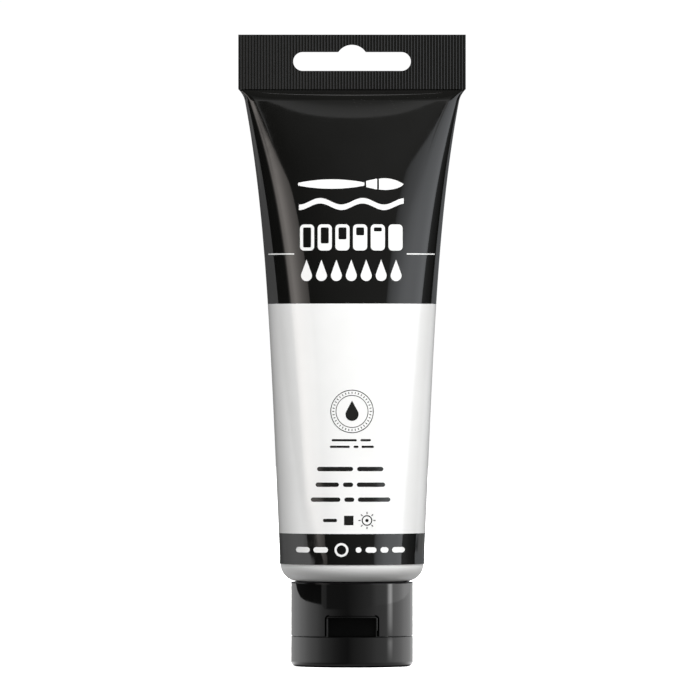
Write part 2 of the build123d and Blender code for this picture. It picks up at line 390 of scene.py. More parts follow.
# Darkest and lightest colour of each finish
PRINT_BLACK = ((0.006, 0.006, 0.0055), (0.007, 0.007, 0.0065))
PRINT_WHITE = ((0.86, 0.86, 0.85), (0.89, 0.89, 0.88))
INK_BLACK = ((0.012, 0.012, 0.011), (0.016, 0.016, 0.015))
INK_WHITE = ((0.87, 0.87, 0.86), (0.9, 0.9, 0.89))
LINING_WHITE = ((0.78, 0.78, 0.76), (0.82, 0.82, 0.8))
HEAD_WHITE = ((0.83, 0.83, 0.82), (0.87, 0.87, 0.86))
CAP_BLACK = ((0.0014, 0.0014, 0.0014), (0.002, 0.002, 0.0019))
# painted shade: the pocket's back and top are a darker black than the cap's own
POCKET_SHADE_BLACK = ((0.001, 0.001, 0.001), (0.0014, 0.0014, 0.0013))
FOIL_SILVER = ((0.78, 0.78, 0.78), (0.86, 0.86, 0.87))
RUBBER_GREY = ((0.52, 0.52, 0.5), (0.6, 0.6, 0.57))
PAINT_WHITE = ((0.86, 0.86, 0.84), (0.92, 0.92, 0.9))

SMOOTH_GLOSS = (0.04, 0.07)
CLOUD_SCALE = 90.0  # cycles per metre
GLOSS_SCALE = 400.0
NOISE_RANGE = (0.3, 0.7)  # where most of a noise's values lie


def node(tree, kind, **values):
    """New shader node with its settings and input values."""
    made = tree.nodes.new(kind)
    for key, value in values.items():
        if key in made.inputs:
            made.inputs[key].default_value = value
        else:
            setattr(made, key, value)
    return made


def blank_material(name):
    """New material and its node tree."""
    material = bpy.data.materials.new(name)
    material.use_nodes = True
    return material, material.node_tree


def noise(tree, scale, detail=2.0):
    """Noise value at a given number of cycles per metre of the object's own space."""
    place = node(tree, "ShaderNodeTexCoord")
    texture = node(tree, "ShaderNodeTexNoise", Scale=scale, Detail=detail)
    tree.links.new(place.outputs["Object"], texture.inputs["Vector"])
    return texture.outputs["Fac"]


def mapped(tree, value, source, target):
    """Carries a value from one range (low, high) onto another."""
    made = node(tree, "ShaderNodeMapRange")
    tree.links.new(value, made.inputs["Value"])
    made.inputs["From Min"].default_value, made.inputs["From Max"].default_value = source
    made.inputs["To Min"].default_value, made.inputs["To Max"].default_value = target
    return made.outputs["Result"]


def surface(name, colours, roughness, bumps, metallic=0.0, ior=1.5):
    """Plastic, ink, foil or paint: cloudy colour, uneven gloss and layered relief.

    colours is (dark, light) and roughness (low, high). bumps holds (cycles per metre, height in metres).
    """
    material, tree = blank_material(name)
    shader = tree.nodes["Principled BSDF"]
    shader.inputs["Metallic"].default_value = metallic
    shader.inputs["IOR"].default_value = ior
    cloud = mapped(tree, noise(tree, CLOUD_SCALE), NOISE_RANGE, (0.0, 1.0))
    mix = node(tree, "ShaderNodeMix", data_type="RGBA")
    colour_inputs = [socket for socket in mix.inputs if socket.type == "RGBA"]
    for socket, colour in zip(colour_inputs, colours):
        socket.default_value = (*colour, 1)
    tree.links.new(cloud, mix.inputs["Factor"])
    mixed = next(socket for socket in mix.outputs if socket.type == "RGBA")
    tree.links.new(mixed, shader.inputs["Base Color"])
    gloss = mapped(tree, noise(tree, GLOSS_SCALE, 3.0), NOISE_RANGE, roughness)
    tree.links.new(gloss, shader.inputs["Roughness"])
    normal = None
    for scale, height in bumps:
        bump = node(tree, "ShaderNodeBump", Strength=1.0, Distance=height)
        tree.links.new(noise(tree, scale), bump.inputs["Height"])
        if normal:
            tree.links.new(normal, bump.inputs["Normal"])
        normal = bump.outputs["Normal"]
    tree.links.new(normal, shader.inputs["Normal"])
    return material


black_print = surface("black_print", PRINT_BLACK, SMOOTH_GLOSS, [(45, 8e-6)])
black_crimp = surface("black_crimp", PRINT_BLACK, (0.1, 0.16), [(300, 6e-6)])
white_print = surface("white_print", PRINT_WHITE, SMOOTH_GLOSS, [(45, 8e-6)])
black_ink = surface("black_ink", INK_BLACK, (0.12, 0.18), [(45, 2e-5)])
white_ink = surface("white_ink", INK_WHITE, (0.16, 0.24), [(45, 2e-5)])
sleeve_inside = surface("sleeve_inside", LINING_WHITE, (0.3, 0.4), [(900, 4e-6)])
white_head = surface("white_head", HEAD_WHITE, (0.34, 0.44), [(60, 2e-6)], ior=1.35)
black_cap = surface("black_cap", CAP_BLACK, (0.025, 0.04), [(60, 3e-7)])
# rougher and less glossy than black_cap, and darker: its darker black is painted shade in the pocket
cap_pocket_texture_and_shade = surface("cap_pocket_texture_and_shade", POCKET_SHADE_BLACK, (0.4, 0.5), [(900, 4e-6)], ior=1.25)
foil = surface("foil", FOIL_SILVER, (0.22, 0.38), [(500, 3e-5), (2500, 8e-6)], metallic=1.0)
rubber = surface("rubber", RUBBER_GREY, (0.55, 0.7), [(1500, 6e-6)])
wet_paint = surface("wet_paint", PAINT_WHITE, (0.12, 0.2), [(300, 1e-4)])


# ==== Sleeve


def half_width(z):
    """Half of the sleeve's width at height z."""
    share = max(0.0, z - SKIRT_TOP) / (CRIMP_BOTTOM - SKIRT_TOP)
    flare = max(0.0, (z - CRIMP_BOTTOM + FLARE_HEIGHT) / FLARE_HEIGHT) ** FLARE_POWER
    flare_width = CRIMP_HALF_WIDTH - CRIMP_STEP - SLEEVE_RADIUS - EVEN_WIDENING - BULGE_WIDENING
    return SLEEVE_RADIUS + EVEN_WIDENING * share + BULGE_WIDENING * share**BULGE_POWER + flare_width * flare


def half_depth(z):
    """Half of the sleeve's depth at z, which keeps the round sleeve's circumference."""
    wide = half_width(z)
    sides = 2 * SLEEVE_RADIUS
    linear = 8 * wide - 6 * sides
    constant = 6 * wide * wide - 6 * sides * wide + sides * sides
    depth = (sqrt(linear * linear - 24 * constant) - linear) / 12
    closing = max(0.0, (z - CRIMP_BOTTOM + CLOSING_HEIGHT) / CLOSING_HEIGHT)
    return depth + (CLOSED_HALF_DEPTH - depth) * closing


def levels(stops, step):
    """Heights from the first stop to the last, with every stop among them."""
    heights = [stops[0]]
    for low, high in zip(stops, stops[1:]):
        heights += steps_between(low, high, ceil((high - low) / step))[1:]
    return heights


def sleeve_shell():
    """Outer skin with its three print zones, the rim at the shoulder, and the inner skin."""
    flare_start = CRIMP_BOTTOM - FLARE_HEIGHT
    closing_start = CRIMP_BOTTOM - CLOSING_HEIGHT
    outer = levels((SLEEVE_BOTTOM, BAND_TOP, WHITE_TOP, flare_start), BODY_STEP)
    outer += levels((flare_start, closing_start), FLARE_STEP)[1:]
    outer += levels((closing_start, CRIMP_BOTTOM), CLOSING_STEP)[1:]
    inner = [z for z in outer if z < CAVITY_TOP - CAVITY_ROW_GAP] + [CAVITY_TOP]
    rows = [(z, 0.0) for z in reversed(outer)] + [(z, SLEEVE_WALL) for z in inner]
    vertices = []
    for z, inset in rows:
        for segment in range(SEGMENTS):
            angle = 2 * pi * segment / SEGMENTS
            wide = half_width(z) - inset
            deep = max(half_depth(z) - inset, CAVITY_END_HALF_DEPTH)
            vertices.append((wide * cos(angle), deep * sin(angle), z))
    black, white, inside = range(3)
    which = [black, inside]
    for (z, inset), (next_z, next_inset) in zip(rows, rows[1:]):
        if next_inset:
            zone = inside
        else:
            zone = white if BAND_TOP < (z + next_z) / 2 < WHITE_TOP else black
        which += [zone] * SEGMENTS
    materials = (black_print, white_print, sleeve_inside)
    return mesh_piece("sleeve_shell", vertices, skin(SEGMENTS, len(rows)), materials, which)


def slot_outline(grow):
    """Hang slot with a bump over its middle, (x, z), enlarged all round by grow."""
    radius = SLOT_HEIGHT / 2 + grow
    bump = SLOT_BUMP_RADIUS + grow
    reach = SLOT_WIDTH / 2 - SLOT_HEIGHT / 2
    meet = degrees(asin(radius / bump))
    steps = 5 * ARC_STEPS
    points = arc(reach, SLOT_CENTRE, radius, -90, 180, steps)
    points += arc(0, SLOT_CENTRE, bump, meet, 180 - 2 * meet, steps)
    return points + arc(-reach, SLOT_CENTRE, radius, 90, 180, steps)


def slot_cutter():
    """Hang slot cutter that leaves a small chamfer on both faces of the crimp."""
    half = CRIMP_THICKNESS / 2
    outside = half + SLOT_CHAMFER
    inside = half - SLOT_CHAMFER
    depths = (-outside, -inside, inside, outside)
    outlines = [slot_outline(grow) for grow in (2 * SLOT_CHAMFER, 0, 0, 2 * SLOT_CHAMFER)]
    indices = range(len(outlines[0]))
    return prism("slot", indices, range(4), lambda i, k: (outlines[k][i][0], depths[k], outlines[k][i][1]))


def crimp_face():
    """One ribbed face of the crimp, (x, y) from left to right: flat crests between rounded grooves."""
    pitch = 2 * CRIMP_HALF_WIDTH / RIB_COUNT
    profile = ((0.0, 0.0), (0.1, 0.35), (0.22, 0.85), (0.34, 1.0), (0.66, 1.0), (0.78, 0.85), (0.9, 0.35))
    face = []
    for rib in range(RIB_COUNT):
        left = -CRIMP_HALF_WIDTH + rib * pitch
        face += [(left + pitch * along, CRIMP_THICKNESS / 2 - RIB_DEPTH * (1 - up)) for along, up in profile]
    return face + [(CRIMP_HALF_WIDTH, CRIMP_THICKNESS / 2 - RIB_DEPTH)]


def crimp_end():
    """Welded end of the tube, with its ribs, softened edges and hang slot."""
    face = crimp_face()
    outline = face + [(-x, -y) for x, y in face]
    low, high, edge = CRIMP_BOTTOM, TUBE_TOP, CRIMP_EDGE
    sections = ((low, edge), (low + edge, 0), (high - edge, 0), (high, edge))

    def place(point, section):
        z, inset = section
        flatter = 1 - inset / CRIMP_THICKNESS
        narrower = 1 - inset / CRIMP_HALF_WIDTH / 2
        return point[0] * narrower, point[1] * flatter, z

    crimp = combine(prism("crimp_end", outline, sections, place, (black_crimp,)), slot_cutter(), "DIFFERENCE")
    tidy(crimp, RIB_SMOOTH_ANGLE)
    return crimp


# ==== Print


def on_sleeve(x, z, stand):
    """Point of the sleeve's front at (x, z), moved outward by stand."""
    wide = half_width(z)
    deep = half_depth(z)
    y = -deep * sqrt(1 - (x / wide) ** 2)
    outward = Vector((x / wide**2, y / deep**2, 0)).normalized() * stand
    return x + outward.x, y + outward.y, z


def filled(loops):
    """Flat bmesh in (x, z) of closed loops, where a loop inside another is a hole."""
    curve = bpy.data.curves.new("shape", "CURVE")
    curve.dimensions = "2D"
    curve.fill_mode = "BOTH"
    for loop in loops:
        spline = curve.splines.new("POLY")
        spline.points.add(len(loop) - 1)
        for point, (x, z) in zip(spline.points, loop):
            point.co = (x, z, 0, 1)
        spline.use_cyclic_u = True
    holder = bpy.data.objects.new("shape", curve)
    flat = bpy.data.meshes.new_from_object(holder)
    bm = bmesh.new()
    bm.from_mesh(flat)
    bpy.data.objects.remove(holder)
    bpy.data.curves.remove(curve)
    bpy.data.meshes.remove(flat)
    bmesh.ops.remove_doubles(bm, verts=bm.verts, dist=1e-4)
    return bm


def slice_up(bm, axis, step):
    """Cuts a flat shape into strips, so that it can follow the round sleeve."""
    values = [v.co[axis] for v in bm.verts]
    normal = Vector((axis == 0, axis == 1, 0))
    for k in range(ceil(min(values) / step), ceil(max(values) / step)):
        everything = bm.verts[:] + bm.edges[:] + bm.faces[:]
        bmesh.ops.bisect_plane(bm, geom=everything, dist=1e-5, plane_co=normal * k * step, plane_no=normal)


def printed(name, shapes, material):
    """Thin layer of ink that follows the sleeve's front. shapes is a list of lists of loops."""
    vertices = []
    faces = []
    for loops in shapes:
        bm = filled(loops)
        slice_up(bm, 0, STRIP_WIDTH)
        slice_up(bm, 1, STRIP_HEIGHT)
        bm.verts.index_update()
        first = len(vertices)
        count = len(bm.verts)
        vertices += [on_sleeve(v.co.x, v.co.y, INK_STAND) for v in bm.verts]
        vertices += [on_sleeve(v.co.x, v.co.y, -INK_DEPTH) for v in bm.verts]
        for face in bm.faces:
            corners = [first + v.index for v in face.verts]
            faces += [corners, [i + count for i in reversed(corners)]]
        for edge in bm.edges:
            if len(edge.link_faces) == 1:
                a, b = (first + v.index for v in edge.verts)
                faces.append([a, b, b + count, a + count])
        bm.free()
    return mesh_piece(name, vertices, faces, (material,))


def circle(x, z, radius, steps=48):
    """Closed round outline."""
    return arc(x, z, radius, 0, 360, steps)[:-1]


def bar(left, right, z, thickness):
    """Line with round ends."""
    r = thickness / 2
    return arc(right - r, z, r, -90, 180, ARC_STEPS) + arc(left + r, z, r, 90, 180, ARC_STEPS)


def ring(x, z, radius, line):
    """Round line: a circle with a round hole."""
    return [circle(x, z, radius), circle(x, z, radius - line)]


def drop(x, bottom, width, height):
    """Paint drop: a round body under two sides that meet in a point."""
    r = width / 2
    lean = degrees(acos(r / (height - r)))
    return [(x, bottom + height)] + arc(x, bottom + r, r, 90 + lean, 360 - 2 * lean, 20)


def ribbon(left, right, count, middle, half):
    """Closed outline from left to right, half(x) above and below middle(x)."""
    places = steps_between(left, right, count)
    above = [(x, middle(x) + half(x)) for x in places]
    return above + [(x, middle(x) - half(x)) for x in reversed(places)]


def brush_handle():
    """Long handle, thin at both ends."""
    left, right, swell_length = -14.8, 3.4, 18.4

    def half(x):
        return 0.35 + 0.95 * sin(pi * (x - left) / swell_length) ** 0.8

    return ribbon(left, right, 24, lambda x: BRUSH_MIDDLE, half)


def brush_ferrule():
    """Metal sleeve that widens towards the hair."""
    left, right, narrow, wide = 3.9, 6.9, 0.85, 1.5
    corners = ((left, narrow), (right, wide), (right, -wide), (left, -narrow))
    return [(x, BRUSH_MIDDLE + up) for x, up in corners]


def brush_tip():
    """Hair of the brush, fuller below, which ends in a point."""
    left, widest, right, half_height = 7.4, 9.0, 14.2, 1.6

    def half(x, power):
        return half_height * (1 - ((x - widest) / (right - widest)) ** 2) ** power

    places = steps_between(left, right, 16)
    above = [(x, BRUSH_MIDDLE + half(x, 1)) for x in places]
    return above + [(x, BRUSH_MIDDLE - half(x, 0.7)) for x in reversed(places[:-1])]


def brush_wave():
    """Wavy stroke of even width."""
    left, right, middle, swing, length, half_line = -14.6, 14.2, 127.4, 0.9, 11.68, 0.75
    return ribbon(left, right, 60, lambda x: middle + swing * sin(2 * pi * x / length), lambda x: half_line)


def brush_emblem():
    """Paint brush lying over a wavy stroke."""
    return [[brush_handle()], [brush_ferrule()], [brush_tip()], [brush_wave()]]


def swatch_row():
    """Swatches, each filled higher than the one before, the last one whole."""
    count, first, pitch, bottom, width, height, line = 6, -14.3, 4.86, 114.6, 3.9, 7.2, 0.85
    top = bottom + height
    shapes = []
    for i in range(count):
        left = first + pitch * i
        shape = [rounded_box(left, bottom, width, height, 1.1)]
        opening = (height - 2 * line) * (count - 1 - i) / (count - 1)
        if opening:
            shape.append(rounded_box(left + line, top - line - opening, width - 2 * line, opening, 0.35))
        shapes.append(shape)
    return shapes


def drop_row():
    """Row of paint drops."""
    count, first, pitch, bottom, width, height = 7, -12.5, 4.1, 106.2, 3.0, 5.9
    return [[drop(first + pitch * i, bottom, width, height)] for i in range(count)]


def spokes(x, z, count, inner, outer, half_line):
    """Short lines that point away from a middle."""
    shapes = []
    for spoke in range(count):
        angle = 2 * pi * spoke / count
        side = Vector((-sin(angle), cos(angle))) * half_line
        corners = []
        for radius, sign in ((inner, 1), (outer, 1), (outer, -1), (inner, -1)):
            corners.append((x + radius * cos(angle) + sign * side.x, z + radius * sin(angle) + sign * side.y))
        shapes.append([corners])
    return shapes


def ring_emblem():
    """Two thin rings with ticks between them around a drop."""
    rings = [ring(0, RING_MIDDLE, radius, line) for radius, line in ((5.95, 0.22), (4.5, 0.2))]
    inside = drop(0, RING_MIDDLE - 2.6, width=3.6, height=5.6)
    return rings + [[inside]] + spokes(0, RING_MIDDLE, count=36, inner=4.85, outer=5.4, half_line=0.11)


def lines(rows, thickness):
    """Bars in rows. rows holds (height, spans)."""
    return [[bar(left, right, z, thickness)] for z, spans in rows for left, right in spans]


def sun(x, z):
    """Small sun: a ring, a dot and eight rays."""
    middle = [ring(x, z, radius=1.45, line=0.3), [circle(x, z, radius=0.45, steps=20)]]
    return middle + spokes(x, z, count=8, inner=1.75, outer=2.35, half_line=0.13)


# ==== Head and seal


def thread_ridge(name, wall, outward, start, material):
    """Right-hand helical ridge that stands outward (1) or inward (-1) from a round wall."""
    half_root = THREAD_ROOT_WIDTH / 2
    half_crest = THREAD_CREST_WIDTH / 2
    root = -outward * THREAD_BITE
    section = ((root, -half_root), (outward, -half_crest), (outward, half_crest), (root, half_root))

    def place(point, step):
        out, up = point
        share = step / THREAD_STEPS
        fade = min(1.0, THREAD_FADE * share, THREAD_FADE * (1 - share))
        radius = wall + (out if out == root else out * THREAD_HEIGHT * fade)
        turns = THREAD_TURNS * share
        return radius * cos(2 * pi * turns), radius * sin(2 * pi * turns), start + THREAD_PITCH * turns + up

    return prism(name, section, range(THREAD_STEPS + 1), place, (material,))


def tube_head():
    """Shoulder with its rounded edge, the skirt inside the sleeve, and the threaded neck."""
    skirt = SLEEVE_RADIUS - SLEEVE_WALL - SKIRT_GAP
    wall = HEAD_RADIUS - SHOULDER_WALL
    bottom = SLEEVE_BOTTOM - SHOULDER_RADIUS
    flat = HEAD_RADIUS - SHOULDER_RADIUS
    outline = [(NECK_BORE, NECK_LIP + NECK_INNER_EDGE), (NECK_BORE + NECK_INNER_EDGE, NECK_LIP)]
    outline += [(NECK_RADIUS - NECK_OUTER_EDGE, NECK_LIP), (NECK_RADIUS, NECK_LIP + NECK_OUTER_EDGE)]
    outline += [(NECK_RADIUS, bottom - SHOULDER_FALL)]
    outline += arc(flat, SLEEVE_BOTTOM, SHOULDER_RADIUS, -90, 90, 32)
    outline += [(skirt, SLEEVE_BOTTOM), (skirt, SKIRT_TOP), (wall, SKIRT_TOP)]
    outline += arc(flat, SLEEVE_BOTTOM, wall - flat, 0, -90, 16)
    outline += [(NECK_BORE, bottom + SHOULDER_WALL - SHOULDER_FALL)]
    body = lathe("head_body", outline, (white_head,))
    thread = thread_ridge("head_thread", NECK_RADIUS, 1, THREAD_START, white_head)
    return join("tube_head", (body, thread))


def seal_ring():
    """Flat soft ring with rounded edges."""
    height = RING_HIGH.z - RING_LOW.z
    section = rounded_box(RING_HIGH.x - RING_WIDTH, RING_LOW.z, RING_WIDTH, height, 0.2)
    return lathe("seal_ring", section, (rubber,))


# ==== Cap


def cap_shell():
    """Skirt, deck, collar, spout and locating ring in one turned moulding with softened edges."""
    skirt = CAP_RADIUS - CAP_WALL
    locator_low = DECK_BOTTOM - LOCATOR_HEIGHT
    locator_inner = LOCATOR_RADIUS - LOCATOR_WALL
    corners = (
        (SPOUT_BORE, SPOUT_TIP, EDGE),
        (SPOUT_BORE, DECK_TOP, 0.2),
        (COLLAR_INNER, DECK_TOP, 0.2),
        (COLLAR_INNER, COLLAR_TOP, EDGE),
        (COLLAR_OUTER, COLLAR_TOP, EDGE),
        (COLLAR_OUTER, DECK_TOP, EDGE),
        (skirt, DECK_TOP, EDGE),
        (skirt, CAP_TOP, EDGE),
        (CAP_RADIUS, CAP_TOP, 0.35),
        (CAP_RADIUS, DECK_BOTTOM, SEAM_RADIUS),
        (LOCATOR_RADIUS, DECK_BOTTOM, 0),
        (LOCATOR_RADIUS, locator_low, 0.25),
        (locator_inner, locator_low, 0.25),
        (locator_inner, DECK_BOTTOM, 0.1),
        (SPOUT_OUTER, DECK_BOTTOM, EDGE),
        (SPOUT_OUTER, SPOUT_TIP, 0.4),
    )
    return lathe("cap_shell", rounded(corners), (black_cap,))


def recess_cutter(name, width, height, corner):
    """Cutter straight in from the front, as deep as the pocket, its two upper corners rounded."""
    half = width / 2
    low = DECK_BOTTOM - LOCATOR_HEIGHT - OVERSHOOT
    top = DECK_BOTTOM + height
    outline = rounded([(-half, low, 0), (half, low, 0), (half, top, corner), (-half, top, corner)])
    return prism(name, outline, (-CAP_RADIUS - OVERSHOOT, -POCKET_BACK), lambda p, y: (p[0], y, p[1]))


def solid_disc(radius, top):
    """Round block from the table up, for cutting."""
    return lathe("disc", [(0, 0), (radius, 0), (radius, top), (0, top)])


def rim_path(inset):
    """Open path up the right side of the recess, over its top and down the left, (x, z)."""
    half = RECESS_WIDTH / 2 - inset
    top = DECK_BOTTOM + RECESS_HEIGHT - inset
    corner = RECESS_CORNER - inset
    straight = half - corner
    path = [(half, DECK_BOTTOM + NOTCH_HEIGHT)]
    path += arc(straight, top - corner, corner, 0, 90, ARC_STEPS)
    path += [(x, top) for x in steps_between(straight, -straight, 32)[1:-1]]
    path += arc(-straight, top - corner, corner, 90, 90, ARC_STEPS)
    return path + [(-half, DECK_BOTTOM)]


def pocket_rim():
    """Rim round the pocket, half round in section, with a groove between it and the cap's face."""
    radius = RIM_WIDTH / 2
    root = GROOVE_DEPTH + radius
    crest = arc(GROOVE_WIDTH + radius, -RIM_DEPTH - radius, radius, 0, 180, 16)
    section = [(inset, -up) for inset, up in crest] + [(GROOVE_WIDTH, root), (GROOVE_WIDTH + RIM_WIDTH, root)]

    def place(point, station):
        inset, depth = point
        x, z = rim_path(inset)[station]
        return x, -sqrt((CAP_RADIUS - depth) ** 2 - x * x), z

    return prism("pocket_rim", section, range(len(rim_path(0))), place, (black_cap,))


def radial_rib(angle):
    """Upright rib that ties the collar to the skirt."""
    inner = COLLAR_OUTER - CAP_RIB_BITE
    outer = CAP_RADIUS - CAP_WALL / 2
    half = CAP_RIB_WALL / 2
    outline = ((inner, -half), (outer, -half), (outer, half), (inner, half))
    side, ahead = sin(radians(angle)), cos(radians(angle))

    def place(point, z):
        x, y = point
        return x * ahead - y * side, x * side + y * ahead, z

    return prism("rib", outline, (DECK_TOP - CAP_RIB_BITE, CAP_RIB_TOP), place, (black_cap,))


def pocket_walls():
    """Block inside the cap's wall that the pocket is sunk into."""
    half = POCKET_WIDTH / 2 + POCKET_WALL
    outer = CAP_RADIUS - CAP_WALL / 2
    low = (-half, -outer, DECK_BOTTOM + EDGE)
    high = (half, POCKET_WALL - POCKET_BACK, DECK_BOTTOM + POCKET_HEIGHT + POCKET_WALL)
    return combine(block("pocket_walls", low, high), solid_disc(outer, CAP_TOP), "INTERSECT")


def cap_base():
    """Cap with its thumb recess, hinge flat, inner thread and ribs."""
    groove = recess_cutter("groove", RECESS_WIDTH, RECESS_HEIGHT, RECESS_CORNER)
    groove = combine(groove, solid_disc(CAP_RADIUS - GROOVE_DEPTH, TUBE_TOP), "DIFFERENCE")
    pocket = recess_cutter("pocket", POCKET_WIDTH, POCKET_HEIGHT, POCKET_CORNER)
    shell = combine(cap_shell(), pocket_walls(), "UNION")
    for cutter in (groove, pocket, hinge_cutter()):
        shell = combine(shell, cutter, "DIFFERENCE")
    texture_and_shade_pocket(shell)
    thread = thread_ridge("collar_thread", COLLAR_INNER, -1, THREAD_START + THREAD_PITCH / 2, black_cap)
    ribs = [radial_rib(angle) for angle in CAP_RIB_ANGLES]
    return join("cap_body", [shell, pocket_rim(), thread] + ribs, CAP_SMOOTH_ANGLE)


def texture_and_shade_pocket(shell):
    """Gives the back and the upper face of the pocket a rougher, textured surface and a darker black than the
    cap's: the darker black is painted shade in the recess.
    """
    shell.data.materials.append(cap_pocket_texture_and_shade)
    for face in shell.data.polygons:
        x, y, z = face.center / MM
        on_back = abs(y + POCKET_BACK) < TOUCH
        on_ceiling = abs(z - DECK_BOTTOM - POCKET_HEIGHT) < TOUCH and y < -POCKET_BACK
        if abs(x) < POCKET_WIDTH / 2 and (on_back or on_ceiling):
            face.material_index = 1


def hinge_cutter():
    """Cutter for the flat at the back on which the hinge web lies."""
    half = HINGE_HIGH.x + OVERSHOOT
    low = HINGE_LOW.z - HINGE_FLAT_MARGIN
    high = HINGE_HIGH.z + HINGE_FLAT_MARGIN
    return block("hinge_flat", (-half, HINGE_FLAT, low), (half, CAP_RADIUS + OVERSHOOT, high))


def thumb_lip():
    """Lip inside the lid's front that closes the thumb recess from below."""
    low = (-LIP_HALF_WIDTH, -CAP_RADIUS + LIP_BITE, LID_TOP - LIP_HEIGHT)
    high = (LIP_HALF_WIDTH, -LIP_BACK, LID_TOP)
    return combine(block("lip", low, high), solid_disc(CAP_RADIUS - LID_WALL / 2, LID_TOP), "INTERSECT")


def flip_lid():
    """Lid with its rounded edge, hollow, sealing pin and thumb lip."""
    inner = CAP_RADIUS - LID_WALL
    corners = (
        (0, 0, 0),
        (CAP_RADIUS, 0, LID_EDGE_RADIUS),
        (CAP_RADIUS, LID_TOP, SEAM_RADIUS),
        (inner, LID_TOP, SEAM_RADIUS),
        (inner, LID_FLOOR, 0.5),
        (PIN_ROOT, LID_FLOOR, 0.4),
        (PIN_ROOT, SPOUT_TIP, 0),
        (PIN_TIP, PIN_TOP, EDGE),
        (0, PIN_TOP, 0),
    )
    shell = combine(lathe("lid_shell", rounded(corners), (black_cap,)), thumb_lip(), "UNION")
    shell = combine(shell, hinge_cutter(), "DIFFERENCE")
    tidy(shell, CAP_SMOOTH_ANGLE)
    shell.name = "lid"
    return shell


def hinge_web():
    """Thin web across the parting line, thickest where it bends, in fine rows and columns."""
    half = HINGE_HIGH.x
    middle = (HINGE_LOW.z + HINGE_HIGH.z) / 2
    heights = steps_between(HINGE_LOW.z, HINGE_HIGH.z, WEB_ROWS)
    outline = [(HINGE_FLAT, z) for z in heights]
    for z in reversed(heights):
        swell = max(0.0, 1 - ((z - middle) / WEB_SWELL_REACH) ** 2)
        outline.append((HINGE_FLAT + WEB_WALL + WEB_SWELL * swell, z))
    stations = steps_between(-half, half, WEB_COLUMNS)
    return prism("hinge_web", outline, stations, lambda point, x: (x, *point), (black_cap,))


# ==== Pieces on their bodies


def settle(piece, body, slot, *nodes):
    """Puts a piece on its body and hides the CAD nodes that it stands for. The slot is not used."""
    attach(piece, body)
    if nodes:
        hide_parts(*nodes)


CODE_BOX = rounded_box(-2.2, CODE_MIDDLE - CODE_SQUARE / 2, CODE_SQUARE, CODE_SQUARE, 0.05)
PRINTS = (
    ("brush", brush_emblem(), white_ink),
    ("swatches", swatch_row(), white_ink),
    ("drops", drop_row(), white_ink),
    ("rules", lines(RULES, thickness=0.36), white_ink),
    ("ring", ring_emblem(), black_ink),
    ("small_lines", lines(SMALL_LINES, thickness=0.6), black_ink),
    ("name_lines", lines(NAME_LINES, thickness=1.2), black_ink),
    ("code_line", lines(CODE_LINES, thickness=0.9), black_ink),
    ("square", [[CODE_BOX]], black_ink),
    ("sun", sun(4.1, CODE_MIDDLE), black_ink),
    ("volume_lines", lines(VOLUME_LINES, thickness=1.5), white_ink),
    ("volume_ring", [ring(-2.9, VOLUME_MIDDLE, radius=1.9, line=0.6)], white_ink),
)

settle(sleeve_shell(), "tube", "printed_sleeve", "tube_sleeve")
settle(crimp_end(), "tube", "printed_sleeve")
for name, shapes, ink in PRINTS:
    settle(printed(f"print_{name}", shapes, ink), "tube", "printed_sleeve")
settle(tube_head(), "tube", "white_head", "shoulder_head")
settle(seal_ring(), "seal", "seal_rubber", "cap_seal_ring")
settle(cap_base(), "cap", "black_cap", "cap_base")
settle(flip_lid(), "lid", "black_cap", "flip_lid")

web = hinge_web()
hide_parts("cap_hinge")
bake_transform(web)

for name, material in (("neck_seal_foil", foil), ("paint_fill", wet_paint)):
    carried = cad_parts[name]
    carried.data.materials.clear()
    carried.data.materials.append(material)


# ==== Stage, lights and camera


MIDDLE = Vector((0, 0, 0.08))
CARD_DISTANCE = 1.5
BACK_CARD_DISTANCE = 1.55
WARM = (1.0, 0.93, 0.88)
COOL = (0.93, 0.96, 1.0)
NEUTRAL = (1.0, 1.0, 1.0)

# Cards far from the tube, as (azimuth, lowest elevation, highest elevation, light). A fade is (angle above
# the lower edge, share of the light).
LEFT_CARD = (
    (-76, -1, 4.5, 0.1), (-74, -1, 5.1, 0.3), (-71, -0.8, 6.0, 2.4), (-67, -0.6, 6.8, 3.0),
    (-64, -0.35, 8.0, 3.6), (-60, -0.3, 9.6, 3.1), (-56, -0.25, 11.0, 2.4), (-53, -0.5, 11.6, 1.9),
    (-50, -1.4, 12.0, 1.6), (-46.5, -3.0, 12.3, 1.2), (-44, -3.3, 6.5, 1.1), (-43, -3.3, 0, 0.9),
    (-39.5, -3.4, -2.4, 0.8),
)
LEFT_REAR = (
    (-180, -1, 30, 0.1), (-151, -1, 30, 0.15), (-129, -1, 30, 0.36), (-115, -1, 30, 0.55),
    (-103, -1, 30, 0.75),
)
LEFT_LOW = (
    (-180, -6, -1, 0.1), (-151, -6, -1, 0.12), (-136, -6, -1, 0.39), (-124, -6, -1, 0.6),
    (-106, -6, -1, 1.1), (-99, -6, -1, 1.3), (-80, -6, -1.8, 1.6), (-75, -6, -1.6, 1.65),
    (-71, -6, -2.2, 1.7), (-67, -6, -2.85, 1.75), (-61, -6, -3.2, 1.75),
)
RIGHT_CARD = (
    (35, -6, 17.2, 0.6), (38, -6, 17.2, 1.1), (42, -6, 16.6, 1.45), (46, -6, 15.7, 1.65),
    (52, -6, 14.0, 2.05), (60, -6, 11.8, 2.25), (72, -6, 9.5, 2.2), (79, -6, 8.5, 2.35), (84, -6, 8.0, 2.5),
    (85, -2.6, 8.0, 2.5), (91, 0.8, 8.0, 2.1),
)
RIGHT_FADE = ((11, 1), (15, 0.85), (17, 0.7), (24, 0.68))
RIGHT_REAR = (
    (119, -3.4, -2.4, 0.75), (128, -6, 0, 0.6), (135, -6, 20, 0.5), (145, -6, 30, 0.35),
    (154, -6, 30, 0.25), (180, -6, 30, 0.2),
)
FRONT_CARD = ((-40, -6, 40, 0), (-10, -6, 45, 0.07), (20, -6, 45, 0.12), (48, -6, 40, 0.16))
FRONT_FADE = ((20, 1), (28, 1.6))
